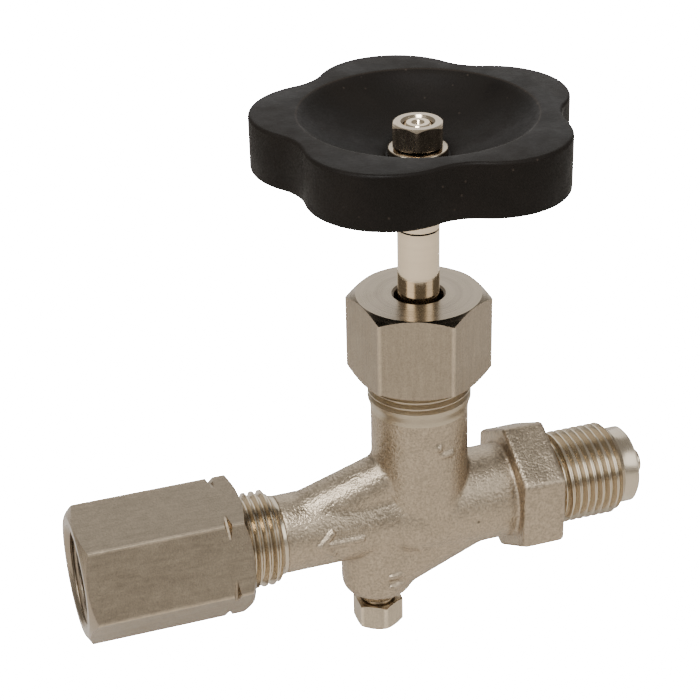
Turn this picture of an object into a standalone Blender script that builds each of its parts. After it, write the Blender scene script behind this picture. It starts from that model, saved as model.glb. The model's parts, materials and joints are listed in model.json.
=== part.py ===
"""Gauge needle valve with a male inlet spigot, a clamping sleeve and a lobed handwheel.

Run with: blender --background --python part.py
The origin is the centre of the inlet spigot's sealing face. The inlet points along +X,
the gauge end along -X, and the stem stands along +Z. Lengths below are in millimetres;
placed geometry is in metres. Heights are measured from the flow axis, and the stations
along the flow axis from the stem axis, which lies STEM_X from the origin.
"""
import bpy
import bmesh
from math import atan2, cos, pi, radians, sin, sqrt
from mathutils import Matrix, Vector

MM = 0.001
GAP = 0.3                    # clearance between pieces that rest on each other
FINE, COARSE = 32, 20        # sides of the large and of the small turned pieces

# Pipe thread G 1/2 and the other standard threads
PIPE_CREST, PIPE_ROOT, PIPE_PITCH = 10.48, 9.32, 1.814
PIPE_NOSE = 8.75             # unthreaded end of a pipe spigot
PIN_RADIUS, PIN_LENGTH = 3.0, 3.0
NECK_CREST, NECK_ROOT, NECK_PITCH = 11.2, 10.3, 1.5
STUD_RADIUS = 3.0            # M6
VENT_RADIUS = 4.0            # M8

# Stations along the flow axis, from the stem axis
STEM_X = -50.4
INLET_FACE = 50.4
INLET_THREAD = (30.4, 46.4)
BODY_HEX = (19.7, 29.6)
ARM_STEP = -6.0              # where the inlet arm steps down to the gauge arm
GAUGE_THREAD_END, GAUGE_ARM_END = -35.2, -33.8
GAUGE_FACE = -53.0
SLEEVE = (-77.9, -41.9)
SLEEVE_MIDDLE = (-62.0, -58.2)
SLEEVE_NOTCH = -46.5
VENT_X = -10.2

# Radii of the cast body
INLET_ARM, GAUGE_ARM, NECK, RIB, WEDGE, BOSS = 10.65, 8.65, 10.6, 6.2, 7.0, 8.1
BORE = 2.0
WRENCH = 27.0                # across the flats: body hexagon, bonnet nut, sleeve
SMALL_WRENCH = 10.0          # across the flats: handwheel nut and vent screw

# Heights along the stem
NECK_THREAD = (28.2, 44.0)
SEAT = 5.4
STEM_BORE_TOP = 24.0
STEM_BORE, PACKING_BORE = 5.15, 8.0
SPINDLE_RADIUS, SPINDLE_SHOULDER, SPINDLE_TOP = 4.45, 68.2, 91.3
PACKING_COUNT, PACKING_HEIGHT = 4, 3.0
BONNET = (34.5, 53.1)
WHEEL = (82.1, 93.8)
BOWL_FLOOR, BOWL_RADIUS, BOWL_FLAT = 84.5, 24.4, 6.8
LOBES, LOBE_TIP, LOBE_ARC, VALLEY_ARC = 5, 34.15, 16.2, 12.2
WHEEL_TURN = 13.4            # bearing of the first lobe, in degrees from +X
BOSS_END, VENT_HEAD = -19.5, (-28.2, -21.9)

TURN_TO_X = Matrix.Rotation(pi / 2, 4, "Y")

for old in list(bpy.data.objects):
    bpy.data.objects.remove(old)
parts = bpy.data.collections.new("needle_valve")
cutters = bpy.data.collections.new("cutters")
for collection in (parts, cutters):
    bpy.context.scene.collection.children.link(collection)


def finish(name, colour, roughness, metallic):
    """A Principled material."""
    material = bpy.data.materials.new(name)
    material.use_nodes = True
    shader = material.node_tree.nodes["Principled BSDF"]
    shader.inputs["Base Color"].default_value = (*colour, 1.0)
    shader.inputs["Roughness"].default_value = roughness
    shader.inputs["Metallic"].default_value = metallic
    return material


CAST_STEEL = finish("cast_stainless", (0.47, 0.43, 0.37), 0.5, 1.0)
TURNED_STEEL = finish("turned_stainless", (0.62, 0.59, 0.54), 0.28, 1.0)
MILLED_STEEL = finish("milled_stainless", (0.56, 0.52, 0.46), 0.38, 1.0)
BLACK_PLASTIC = finish("black_plastic", (0.02, 0.018, 0.017), 0.45, 0.0)
PACKING_RESIN = finish("packing_resin", (0.82, 0.81, 0.78), 0.5, 0.0)
SEAL_COPPER = finish("seal_copper", (0.75, 0.42, 0.28), 0.35, 1.0)


def stem_place(x=0.0, z=0.0):
    """Places a shape made about its own Z axis at a station and a height."""
    return Matrix.Translation(Vector((STEM_X + x, 0, z)) * MM)


def flow_place():
    """Lays a shape made about Z along the flow axis, its Z becoming the station."""
    return Matrix.Translation((STEM_X * MM, 0, 0)) @ TURN_TO_X


def add(name, mesh, matrix, material=None):
    """Links a part, or a cutter where there is no material."""
    item = bpy.data.objects.new(name, mesh)
    item.matrix_world = matrix
    if material:
        mesh.materials.append(material)
        parts.objects.link(item)
    else:
        cutters.objects.link(item)
        item.hide_render = True
        item.display_type = "WIRE"
    return item


def turned(name, profile, matrix, material=None, sides=FINE, closed=False):
    """Revolves (radius, height) points that run down the outer side."""
    points = [(radius * MM, 0, height * MM) for radius, height in profile]
    edges = [(i, i + 1) for i in range(len(points) - 1)]
    if closed:
        edges.append((len(points) - 1, 0))
    mesh = bpy.data.meshes.new(name)
    mesh.from_pydata(points, edges, [])
    item = add(name, mesh, matrix, material)
    screw = item.modifiers.new("turn", "SCREW")
    screw.steps = sides
    screw.render_steps = sides
    screw.use_merge_vertices = True
    screw.merge_threshold = 0.00001
    screw.use_smooth_shade = True
    return item


def ring(name, inner, outer, low, high, matrix, material, sides=COARSE):
    """A plain turned ring."""
    profile = [(outer, high), (outer, low), (inner, low), (inner, high)]
    return turned(name, profile, matrix, material, sides, closed=True)


def rod(name, radius, start, end, sides=FINE):
    """A straight round cutter or guide between two points, (station, height) each."""
    mesh = bpy.data.meshes.new(name)
    shape = bmesh.new()
    run = Vector((end[0] - start[0], 0, end[1] - start[1]))
    bmesh.ops.create_cone(shape, cap_ends=True, segments=sides, radius1=radius * MM,
                          radius2=radius * MM, depth=run.length * MM)
    shape.to_mesh(mesh)
    shape.free()
    middle = Vector((STEM_X + (start[0] + end[0]) / 2, 0, (start[1] + end[1]) / 2)) * MM
    turn = run.to_track_quat("Z", "Y").to_matrix().to_4x4()
    return add(name, mesh, Matrix.Translation(middle) @ turn)


def hexagon(name, across, low, high, corner, matrix, material=None, rounding=0.0):
    """A hexagonal prism about Z; corner is the angle of one of its edges in degrees."""
    mesh = bpy.data.meshes.new(name)
    shape = bmesh.new()
    radius = across / sqrt(3)
    bmesh.ops.create_cone(shape, cap_ends=True, segments=6, radius1=radius * MM,
                          radius2=radius * MM, depth=(high - low) * MM)
    first = next(v.co for v in shape.verts)
    turn = radians(corner) - Vector((first.x, first.y)).angle_signed(Vector((1, 0)))
    spin = Matrix.Rotation(turn, 4, "Z")
    lift = Matrix.Translation((0, 0, (low + high) / 2 * MM))
    bmesh.ops.transform(shape, matrix=lift @ spin, verts=shape.verts)
    if rounding:
        upright = [e for e in shape.edges if abs(e.verts[0].co.z - e.verts[1].co.z) > MM]
        bmesh.ops.bevel(shape, geom=upright, offset=rounding * MM, segments=3,
                        profile=0.5, affect="EDGES")
    shape.to_mesh(mesh)
    shape.free()
    return add(name, mesh, matrix, material)


def combine(item, tool, operation):
    """Joins, cuts or trims a part with a cutter."""
    step = item.modifiers.new(tool.name, "BOOLEAN")
    step.operation = operation
    step.solver = "EXACT"
    step.object = tool


def chamfered_hexagon(name, across, low, high, corner, face, drop, matrix, material):
    """A nut blank: the prism trimmed by cones that leave a round face at each end."""
    item = hexagon(name, across, low, high, corner, matrix, material)
    reach = across / sqrt(3) + 0.4
    slope = drop / (across / sqrt(3) - face)
    dip = slope * (reach - face)
    barrel = [(0, high), (face, high), (reach, high - dip),
              (reach, low + dip), (face, low), (0, low)]
    combine(item, turned(name + "_barrel", barrel, matrix), "INTERSECT")
    return item


def thread(high, low, pitch, crest, root, turns=None):
    """The outline of ring-shaped thread crests, running down."""
    count = turns or int((high - low) / pitch)
    points = []
    for i in range(count):
        points += [(root, high - i * pitch), (crest, high - (i + 0.5) * pitch)]
    return points + [(root, high - count * pitch)]


def valve_body():
    """The cast body with its machined ends, and all its bores."""
    inlet_threads = thread(INLET_THREAD[1], INLET_THREAD[0], PIPE_PITCH, PIPE_CREST, PIPE_ROOT)
    gauge_turns = 4
    gauge_threads_end = GAUGE_THREAD_END - gauge_turns * PIPE_PITCH
    gauge_threads = thread(GAUGE_THREAD_END, gauge_threads_end, PIPE_PITCH,
                           PIPE_CREST, PIPE_ROOT, turns=gauge_turns)
    outline = [
        (0, INLET_FACE + PIN_LENGTH), (PIN_RADIUS - 0.4, INLET_FACE + PIN_LENGTH),
        (PIN_RADIUS, INLET_FACE + PIN_LENGTH - 0.4), (PIN_RADIUS, INLET_FACE),
        (PIPE_NOSE - 0.4, INLET_FACE), (PIPE_NOSE, INLET_FACE - 0.4),
        (PIPE_NOSE, INLET_THREAD[1] + 0.3), *inlet_threads,
        (PIPE_ROOT - 0.2, INLET_THREAD[0]), (PIPE_ROOT - 0.2, BODY_HEX[1]),
        (INLET_ARM, BODY_HEX[1] - 1.0), (INLET_ARM, ARM_STEP + 1.2),
        (GAUGE_ARM, ARM_STEP), (GAUGE_ARM, GAUGE_ARM_END),
        (PIPE_CREST, GAUGE_THREAD_END + 0.2), *gauge_threads,
        (PIPE_CREST, gauge_threads_end - 0.6), (PIPE_CREST, GAUGE_FACE + 4.2),
        (PIPE_NOSE, GAUGE_FACE + 3.0), (PIPE_NOSE, GAUGE_FACE + 0.4),
        (PIPE_NOSE - 0.4, GAUGE_FACE), (PIN_RADIUS, GAUGE_FACE),
        (PIN_RADIUS, GAUGE_FACE - PIN_LENGTH + 0.4),
        (PIN_RADIUS - 0.4, GAUGE_FACE - PIN_LENGTH), (0, GAUGE_FACE - PIN_LENGTH)]
    body = turned("valve_body", outline, flow_place(), CAST_STEEL)

    neck_turns = 5
    threads_end = NECK_THREAD[0] + neck_turns * NECK_PITCH
    neck_threads = thread(threads_end, NECK_THREAD[0], NECK_PITCH, NECK_CREST, NECK_ROOT,
                          turns=neck_turns)
    neck = turned("neck_blank", [
        (0, NECK_THREAD[1]), (NECK_CREST - 0.8, NECK_THREAD[1]),
        (NECK_CREST, NECK_THREAD[1] - 0.8), (NECK_CREST, threads_end + 0.6), *neck_threads,
        (NECK - 0.25, NECK_THREAD[0] - 0.4), (NECK, NECK_THREAD[0] - 0.8), (NECK, 0.4),
        (0, 0.4)], stem_place())
    boss = turned("boss_blank", [
        (0, -1.0), (BOSS, -1.0), (BOSS, -15.0), (5.4, BOSS_END), (0, BOSS_END)],
        stem_place(VENT_X))
    rib = rod("rib_blank", RIB, (-30.0, 2.0), (-2.0, 10.7))
    wedge = rod("wedge_blank", WEDGE, (16.0, -2.35), (-7.9, -11.6))
    hexagon_blank = hexagon("hexagon_blank", WRENCH, *BODY_HEX, 0, flow_place(), rounding=2.2)
    edge = hexagon_blank.modifiers.new("edge", "BEVEL")
    edge.width = 0.8 * MM
    edge.segments = 2
    edge.limit_method = "ANGLE"
    edge.angle_limit = radians(60)
    for blank in (neck, boss, rib, wedge, hexagon_blank):
        combine(body, blank, "UNION")

    stem_bore = turned("stem_bore", [
        (0, NECK_THREAD[1] + 2), (PACKING_BORE, NECK_THREAD[1] + 2),
        (PACKING_BORE, STEM_BORE_TOP), (STEM_BORE, STEM_BORE_TOP), (STEM_BORE, SEAT),
        (2.5, SEAT), (2.5, -1.6), (0, -1.6)], stem_place())
    vent_bore = turned("vent_bore", [
        (0, 0.2), (1.5, 0.2), (1.5, -9.2), (2.3, -9.2), (2.3, -13.4),
        (VENT_RADIUS + 0.15, -13.4), (VENT_RADIUS + 0.15, BOSS_END - 2), (0, BOSS_END - 2)],
        stem_place(VENT_X), sides=COARSE)
    inlet_bore = rod("inlet_bore", BORE, (0.1, 0), (INLET_FACE + 6, 0), COARSE)
    gauge_bore = rod("gauge_bore", BORE, (GAUGE_FACE - 6, 0), (VENT_X + 1.8, 0), COARSE)
    slant_bore = rod("slant_bore", BORE, (-33.5, 0.9), (-3.0, 10.4), COARSE)
    for bore in (stem_bore, vent_bore, inlet_bore, gauge_bore, slant_bore):
        combine(body, bore, "DIFFERENCE")


def packing():
    """The seal stack in the neck, from the support ring up to the gland."""
    inner = SPINDLE_RADIUS + 0.15
    outer = PACKING_BORE - 0.15
    height = STEM_BORE_TOP + GAP
    ring("packing_base_ring", inner, outer, height, height + 2.0, stem_place(), TURNED_STEEL)
    height += 2.0 + GAP
    for i in range(PACKING_COUNT):
        ring(f"packing_ring_{i + 1}", inner, outer, height, height + PACKING_HEIGHT,
             stem_place(), PACKING_RESIN)
        height += PACKING_HEIGHT + GAP
    collar_foot = NECK_THREAD[1] + GAP
    turned("gland_ring", [
        (10.0, 48.0), (10.0, collar_foot), (outer, collar_foot), (outer, height),
        (inner, height), (inner, 48.0)], stem_place(), TURNED_STEEL, COARSE, closed=True)


def bonnet_nut():
    """The large hexagon nut that presses the gland on to the packing."""
    nut = chamfered_hexagon("bonnet_nut", WRENCH, *BONNET, -22.8, 13.1, 1.4, stem_place(),
                            MILLED_STEEL)
    bore = turned("bonnet_bore", [
        (0, 56), (6.1, 56), (6.1, 53.5), (5.28, 52.6), (5.28, 48.3), (NECK_CREST + 0.15, 48.3),
        (NECK_CREST + 0.15, 35.2), (NECK_CREST + 1.0, 34.3), (NECK_CREST + 1.0, 33), (0, 33)],
        stem_place())
    combine(nut, bore, "DIFFERENCE")


def spindle():
    """The turned spindle: stud, shaft, thread and the socket that holds the needle."""
    turned("spindle", [
        (0, SPINDLE_TOP - 0.8), (0.9, SPINDLE_TOP), (STUD_RADIUS - 0.5, SPINDLE_TOP),
        (STUD_RADIUS, SPINDLE_TOP - 0.5), (STUD_RADIUS, SPINDLE_SHOULDER),
        (SPINDLE_RADIUS - 0.2, SPINDLE_SHOULDER), (SPINDLE_RADIUS, SPINDLE_SHOULDER - 0.2),
        (SPINDLE_RADIUS, 19.4), (5.0, 18.8), (5.0, 10.0), (4.4, 9.4), (4.4, 8.0),
        (3.2, 8.0), (3.2, 9.6), (3.7, 9.6), (3.7, 10.4), (3.2, 10.4), (3.2, 12.1),
        (1.8, 12.1), (1.8, 15.4), (0, 15.4)], stem_place(), TURNED_STEEL)
    ring("needle_retainer", 2.45, 3.45, 9.75, 10.25, stem_place(), TURNED_STEEL)
    turned("needle_tip", [
        (0, 11.8), (2.9, 11.8), (2.9, 10.4), (2.2, 10.4), (2.2, 9.6), (2.9, 9.6),
        (2.9, 6.4), (0.6, 2.6), (0, 2.6)], stem_place(), TURNED_STEEL, COARSE)
    ball("thrust_ball", 1.45, stem_place(z=13.6))
    ring("hub_bush", STUD_RADIUS + 0.3, SPINDLE_RADIUS, SPINDLE_SHOULDER + 0.2,
         WHEEL[0] - GAP, stem_place(), TURNED_STEEL, FINE)


def ball(name, radius, matrix):
    """A steel ball."""
    mesh = bpy.data.meshes.new(name)
    shape = bmesh.new()
    bmesh.ops.create_uvsphere(shape, u_segments=16, v_segments=8, radius=radius * MM)
    shape.to_mesh(mesh)
    shape.free()
    mesh.shade_smooth()
    add(name, mesh, matrix, TURNED_STEEL)


def rim_radius(bearing):
    """The wheel's outline: lobe arcs joined by hollow arcs, tangent to each other.

    bearing is in radians from the first lobe's middle.
    """
    half = pi / LOBES
    off_lobe = abs((bearing + half) % (2 * half) - half)
    lobe_centre = LOBE_TIP - LOBE_ARC
    reach = LOBE_ARC + VALLEY_ARC
    valley_centre = lobe_centre * cos(half) + sqrt(reach ** 2 - (lobe_centre * sin(half)) ** 2)
    share = LOBE_ARC / reach
    meet_x = lobe_centre + (valley_centre * cos(half) - lobe_centre) * share
    meet_y = valley_centre * sin(half) * share
    if off_lobe < atan2(meet_y, meet_x):
        side = lobe_centre * sin(off_lobe)
        return lobe_centre * cos(off_lobe) + sqrt(LOBE_ARC ** 2 - side ** 2)
    off_valley = half - off_lobe
    side = valley_centre * sin(off_valley)
    return valley_centre * cos(off_valley) - sqrt(VALLEY_ARC ** 2 - side ** 2)


def lobed_outline(points_per_lobe=16):
    """Points round the handwheel's rim."""
    count = LOBES * points_per_lobe
    for i in range(count):
        bearing = 2 * pi * i / count
        angle = bearing + radians(WHEEL_TURN)
        radius = rim_radius(bearing)
        yield radius * cos(angle) * MM, radius * sin(angle) * MM, 0.0


def handwheel():
    """The lobed wheel with a dished top, a cored underside and a round hub hole."""
    curve = bpy.data.curves.new("lobed_outline", "CURVE")
    curve.dimensions = "2D"
    curve.fill_mode = "BOTH"
    curve.extrude = (WHEEL[1] - WHEEL[0]) / 2 * MM
    points = list(lobed_outline())
    line = curve.splines.new("POLY")
    line.points.add(len(points) - 1)
    for point, place in zip(line.points, points):
        point.co = (*place, 1.0)
    line.use_cyclic_u = True
    guide = add("lobed_guide", curve, stem_place(z=(WHEEL[0] + WHEEL[1]) / 2))
    bpy.context.view_layer.update()
    evaluated = guide.evaluated_get(bpy.context.evaluated_depsgraph_get())
    mesh = bpy.data.meshes.new_from_object(evaluated)
    mesh.name = "handwheel"
    matrix = guide.matrix_world.copy()
    bpy.data.objects.remove(guide)
    shape = bmesh.new()
    shape.from_mesh(mesh)
    bmesh.ops.remove_doubles(shape, verts=shape.verts, dist=0.00001)
    bmesh.ops.recalc_face_normals(shape, faces=shape.faces)
    shape.to_mesh(mesh)
    shape.free()
    wheel = add("handwheel", mesh, matrix, BLACK_PLASTIC)
    edge = wheel.modifiers.new("edge", "BEVEL")
    edge.width = 0.7 * MM
    edge.segments = 1
    edge.limit_method = "ANGLE"
    edge.angle_limit = radians(50)

    depth = WHEEL[1] - BOWL_FLOOR
    sphere = (BOWL_RADIUS ** 2 + depth ** 2) / (2 * depth)
    bowl = [(0, WHEEL[1] + 3), (BOWL_RADIUS + 1.5, WHEEL[1] + 3), (BOWL_RADIUS, WHEEL[1])]
    for i in range(1, 7):
        radius = BOWL_RADIUS + (BOWL_FLAT - BOWL_RADIUS) * i / 6
        bowl.append((radius, BOWL_FLOOR + sphere - sqrt(sphere ** 2 - radius ** 2)))
    bowl += [(BOWL_FLAT, BOWL_FLOOR), (0, BOWL_FLOOR)]
    combine(wheel, turned("bowl", bowl, stem_place()), "DIFFERENCE")
    core = [(12.0, 84.2), (20.0, 87.0), (25.0, 89.6), (25.6, 81.0), (12.0, 81.0)]
    combine(wheel, turned("underside_core", core, stem_place(), closed=True), "DIFFERENCE")
    hub = rod("hub_hole", STUD_RADIUS + 0.3, (0, WHEEL[0] - 3), (0, BOWL_FLOOR + 3), COARSE)
    combine(wheel, hub, "DIFFERENCE")

    ring("handwheel_washer", STUD_RADIUS + 0.3, 6.2, BOWL_FLOOR + GAP, 86.1, stem_place(),
         TURNED_STEEL)
    nut = chamfered_hexagon("handwheel_nut", SMALL_WRENCH, 86.1 + GAP, 91.5, 7.0, 4.75, 0.5,
                            stem_place(), MILLED_STEEL)
    hole = rod("nut_hole", STUD_RADIUS + 0.12, (0, 84), (0, 94), COARSE)
    combine(nut, hole, "DIFFERENCE")


def clamping_sleeve():
    """The long hexagon sleeve with a left-hand and a right-hand end, and its seal."""
    sleeve = chamfered_hexagon("clamping_sleeve", WRENCH, *SLEEVE, -139.2, 13.2, 1.2,
                               flow_place(), MILLED_STEEL)
    bore = turned("sleeve_bore", [
        (0, SLEEVE[1] + 3), (11.3, SLEEVE[1] + 3), (11.3, SLEEVE[1]),
        (PIPE_CREST + 0.15, SLEEVE[1] - 0.8), (PIPE_CREST + 0.15, SLEEVE_MIDDLE[1]),
        (PIPE_CREST + 0.4, SLEEVE_MIDDLE[1]), (PIPE_CREST + 0.4, SLEEVE_MIDDLE[0]),
        (PIPE_ROOT, SLEEVE_MIDDLE[0]), (PIPE_ROOT, SLEEVE[0] + 1.6), (10.9, SLEEVE[0]),
        (10.9, SLEEVE[0] - 3), (0, SLEEVE[0] - 3)], flow_place())
    combine(sleeve, bore, "DIFFERENCE")
    notch = turned("sleeve_notch", [
        (17.0, SLEEVE_NOTCH + 1.9), (17.0, SLEEVE_NOTCH - 1.9), (14.2, SLEEVE_NOTCH)],
        flow_place(), closed=True)
    combine(sleeve, notch, "DIFFERENCE")
    ring("sleeve_gasket", PIN_RADIUS + 0.4, 10.3, -60.9, -58.9, flow_place(), SEAL_COPPER)


def vent():
    """The vent screw under the gauge side, and the ball that it presses on its seat."""
    ball("vent_ball", 2.0, stem_place(VENT_X, -11.5))
    head = chamfered_hexagon("vent_screw", SMALL_WRENCH, *VENT_HEAD, -90, 4.8, 0.6,
                             stem_place(VENT_X), MILLED_STEEL)
    shank = turned("vent_shank", [
        (0, -13.8), (VENT_RADIUS - 0.6, -13.8), (VENT_RADIUS, -14.4),
        *thread(-18.8, VENT_HEAD[1], 1.25, VENT_RADIUS, VENT_RADIUS - 0.6, turns=2),
        (VENT_RADIUS - 0.6, VENT_HEAD[1] - 1), (0, VENT_HEAD[1] - 1)],
        stem_place(VENT_X), sides=COARSE)
    combine(head, shank, "UNION")


valve_body()
packing()
bonnet_nut()
spindle()
handwheel()
clamping_sleeve()
vent()
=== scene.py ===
# %% [markdown]
# # A gauge needle valve, piece by piece
# A needle valve shuts a pressure gauge off from its pipe. The frame that is loaded here holds
# every piece of it as a plain solid, at its true size and place. Each step below makes a
# piece finely enough to look at from close by, and it later rides on the body that carries it.
# Lengths are written in millimetres and multiplied by MM, because Blender counts in metres.

import bpy
import json
from math import atan2, ceil, cos, pi, radians, sin, sqrt
from mathutils import Matrix, Vector


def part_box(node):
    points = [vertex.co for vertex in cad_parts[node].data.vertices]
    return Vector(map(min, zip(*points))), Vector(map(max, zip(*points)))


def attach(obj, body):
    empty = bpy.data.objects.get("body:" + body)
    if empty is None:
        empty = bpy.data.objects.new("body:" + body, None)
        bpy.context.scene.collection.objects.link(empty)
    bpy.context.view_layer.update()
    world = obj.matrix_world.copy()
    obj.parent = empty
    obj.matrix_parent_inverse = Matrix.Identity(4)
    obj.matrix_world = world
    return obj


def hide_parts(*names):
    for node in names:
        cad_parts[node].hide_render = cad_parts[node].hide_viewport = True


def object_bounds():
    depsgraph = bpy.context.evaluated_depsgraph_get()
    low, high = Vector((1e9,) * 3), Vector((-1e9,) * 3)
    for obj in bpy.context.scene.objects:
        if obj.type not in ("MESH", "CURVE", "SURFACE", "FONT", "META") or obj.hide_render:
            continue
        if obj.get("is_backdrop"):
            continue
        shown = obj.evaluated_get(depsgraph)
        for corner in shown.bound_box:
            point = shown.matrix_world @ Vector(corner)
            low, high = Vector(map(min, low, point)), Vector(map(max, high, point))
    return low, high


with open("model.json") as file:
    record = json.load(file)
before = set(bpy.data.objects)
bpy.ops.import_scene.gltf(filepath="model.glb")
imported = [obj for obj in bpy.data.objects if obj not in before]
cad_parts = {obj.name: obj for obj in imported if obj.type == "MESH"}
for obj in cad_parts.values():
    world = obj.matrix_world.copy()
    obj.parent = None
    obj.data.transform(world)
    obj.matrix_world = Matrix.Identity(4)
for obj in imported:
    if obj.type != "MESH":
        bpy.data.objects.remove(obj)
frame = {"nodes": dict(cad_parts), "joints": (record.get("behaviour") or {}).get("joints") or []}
cad_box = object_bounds()
MM = 0.001
TINY = 0.001 * MM
joints = {joint["name"]: joint for joint in frame["joints"]}
STEM_X = joints["handwheel_turn"]["pos_m"][0]
VENT_X = joints["vent_turn"]["pos_m"][0]


def span(node, axis="z", start=0.0):
    """The low and the high end of a node along one axis, in millimetres from the start."""
    return [(getattr(corner, axis) - start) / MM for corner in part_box(node)]


print("stem axis at", STEM_X, "vent axis at", VENT_X)

# %% [markdown]
# ## Camera
# A long lens from the left and above shows the gauge end, the top of the nut and the dish of
# the wheel at once. The camera is turned by three plain angles: how far round it stands, how
# high it looks from, and how much its horizon tips.

# %% Camera
AZIMUTH, ELEVATION, TIP = radians(-18.305), radians(28.403), radians(-1.375)
CAMERA_STAND = (-0.175994, -0.332888, 0.231986)
LENS, SENSOR_WIDTH, NEAREST = 97.47, 36.0, 0.01
bpy.ops.object.camera_add(location=CAMERA_STAND)
camera = bpy.context.object
camera.name = "camera"
turn_round = Matrix.Rotation(AZIMUTH, 4, "Z")
look_down = Matrix.Rotation(pi / 2 - ELEVATION, 4, "X")
tip = Matrix.Rotation(TIP, 4, "Z")
aim = turn_round @ look_down @ tip
camera.rotation_mode = "XYZ"
camera.rotation_euler = aim.to_euler()
camera.data.lens = LENS
camera.data.sensor_width = SENSOR_WIDTH
camera.data.clip_start = NEAREST
bpy.context.scene.camera = camera
print("camera looks along", aim @ Vector((0, 0, -1)))

# %% [markdown]
# ## Working by hand, in code
# An operator acts on whatever is selected, and the loaded frame is still selected, so every
# step starts from nothing. These helpers pick one object, enter edit mode on it, select parts
# of it by where they are, and put a finished piece's place into its mesh, which leaves the
# object itself at the origin. A piece is made round the upright axis, and then stands on the
# stem's axis, lies along the pipe, or stands on the axis of the vent screw.

# %% Selecting and settling
LAID_DOWN = Matrix.Rotation(pi / 2, 4, "Y")
STANDING = Matrix.Translation((STEM_X, 0, 0))
LYING = STANDING @ LAID_DOWN
AT_VENT = Matrix.Translation((VENT_X, 0, 0))


def pick(*pieces):
    """Selects these objects only; the first one is active."""
    if bpy.context.object and bpy.context.object.mode != "OBJECT":
        bpy.ops.object.mode_set(mode="OBJECT")
    bpy.ops.object.select_all(action="DESELECT")
    for piece in pieces:
        piece.select_set(True)
    bpy.context.view_layer.objects.active = pieces[0] if pieces else None


def edit(piece):
    """Enters edit mode on one object, in points, with everything in it selected."""
    pick(piece)
    bpy.ops.object.mode_set(mode="EDIT")
    bpy.ops.mesh.select_mode(type="VERT")
    bpy.ops.mesh.select_all(action="SELECT")


def choose(piece, test, parts="vertices"):
    """Enters edit mode with only those points, or edges, selected that pass a test."""
    edit(piece)
    bpy.ops.mesh.select_mode(type="EDGE" if parts == "edges" else "VERT")
    bpy.ops.mesh.select_all(action="DESELECT")
    bpy.ops.object.mode_set(mode="OBJECT")
    for part in getattr(piece.data, parts):
        part.select = test(part)
    bpy.ops.object.mode_set(mode="EDIT")


def settle(piece, place=None):
    """Moves a piece to its place and puts that place into the mesh."""
    pick(piece)
    if place is not None:
        piece.matrix_world = place @ piece.matrix_world
        bpy.context.view_layer.update()
    bpy.ops.object.transform_apply(location=True, rotation=True, scale=True)
    return piece


# %% [markdown]
# ### Shading, modifiers and cutting
# A turned piece should look round and a milled flat should look flat. Shading is therefore
# rounded only where two faces meet at a small angle, and on the nuts a Weighted Normal
# modifier lets each large flat decide how the narrow bevel beside it is shaded.


# %% Shading and cutting
def smooth(piece, angle=32):
    """Rounds the shading where faces meet at less than this angle."""
    pick(piece)
    bpy.ops.object.shade_smooth_by_angle(angle=radians(angle))
    return piece


def apply_modifier(piece, kind, **settings):
    """Adds one modifier, sets it and applies it."""
    pick(piece)
    modifier = piece.modifiers.new(kind.lower(), kind)
    for name, value in settings.items():
        setattr(modifier, name, value)
    bpy.ops.object.modifier_apply(modifier=modifier.name)


def report(piece):
    """Prints how finely a piece is made."""
    print(piece.name, "has", len(piece.data.polygons), "faces")


def even_out(piece):
    """Lets the large flat faces decide the shading of the narrow ones beside them."""
    apply_modifier(piece, "WEIGHTED_NORMAL", weight=100, keep_sharp=True)


def carve(piece, tool, operation="DIFFERENCE"):
    """Cuts a piece with a tool, or joins or trims it, and throws the tool away."""
    apply_modifier(piece, "BOOLEAN", object=tool, operation=operation, solver="EXACT")
    bpy.data.objects.remove(tool)


# %% [markdown]
# ## Turned pieces
# Most of the valve is turned on a lathe, and Blender's lathe is Spin. A single point is
# extruded from corner to corner along the outline, half a section through the piece, and the
# outline is then spun round the upright axis. Corners are broken with small chamfers, since
# no machined edge is ever perfectly sharp, and it is that thin facet that catches the light.


# %% The lathe
def lathe(name, outline, steps=128, closed=False):
    """Spins (radius, height) points, in millimetres, round the Z axis."""
    pick()
    bpy.ops.mesh.primitive_plane_add(size=MM)
    piece = bpy.context.object
    piece.name = name
    piece.data.name = name
    points = [Vector((radius * MM, 0, height * MM)) for radius, height in outline]
    edit(piece)
    bpy.ops.mesh.merge(type="CENTER")
    bpy.ops.transform.translate(value=points[0])
    for here, there in zip(points, points[1:]):
        bpy.ops.mesh.extrude_region_move(TRANSFORM_OT_translate={"value": there - here})
    if closed:
        home = points[0] - points[-1]
        bpy.ops.mesh.extrude_region_move(TRANSFORM_OT_translate={"value": home})
    bpy.ops.mesh.select_all(action="SELECT")
    bpy.ops.mesh.remove_doubles(threshold=TINY)
    bpy.ops.mesh.spin(steps=steps, angle=2 * pi, center=(0, 0, 0), axis=(0, 0, 1))
    bpy.ops.mesh.select_all(action="SELECT")
    bpy.ops.mesh.remove_doubles(threshold=TINY)
    bpy.ops.mesh.normals_make_consistent(inside=False)
    bpy.ops.object.mode_set(mode="OBJECT")
    return piece


def arc(centre, radius, start, end, count=6):
    """Points on a round stretch of an outline; angles are in degrees."""
    for i in range(count + 1):
        angle = radians(start + (end - start) * i / count)
        yield centre[0] + radius * cos(angle), centre[1] + radius * sin(angle)


# %% [markdown]
# ## Threads
# A thread isn't a stack of rings: it is one groove that climbs. The lathe cuts it with a
# V-shaped tool that moves along the work as the work turns, and so does this helper. A small
# plane is shaped into the section of the groove, the Screw modifier sweeps it along the
# helix, and the swept tool is cut out of the blank. A negative turn makes a left-hand thread.


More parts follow.
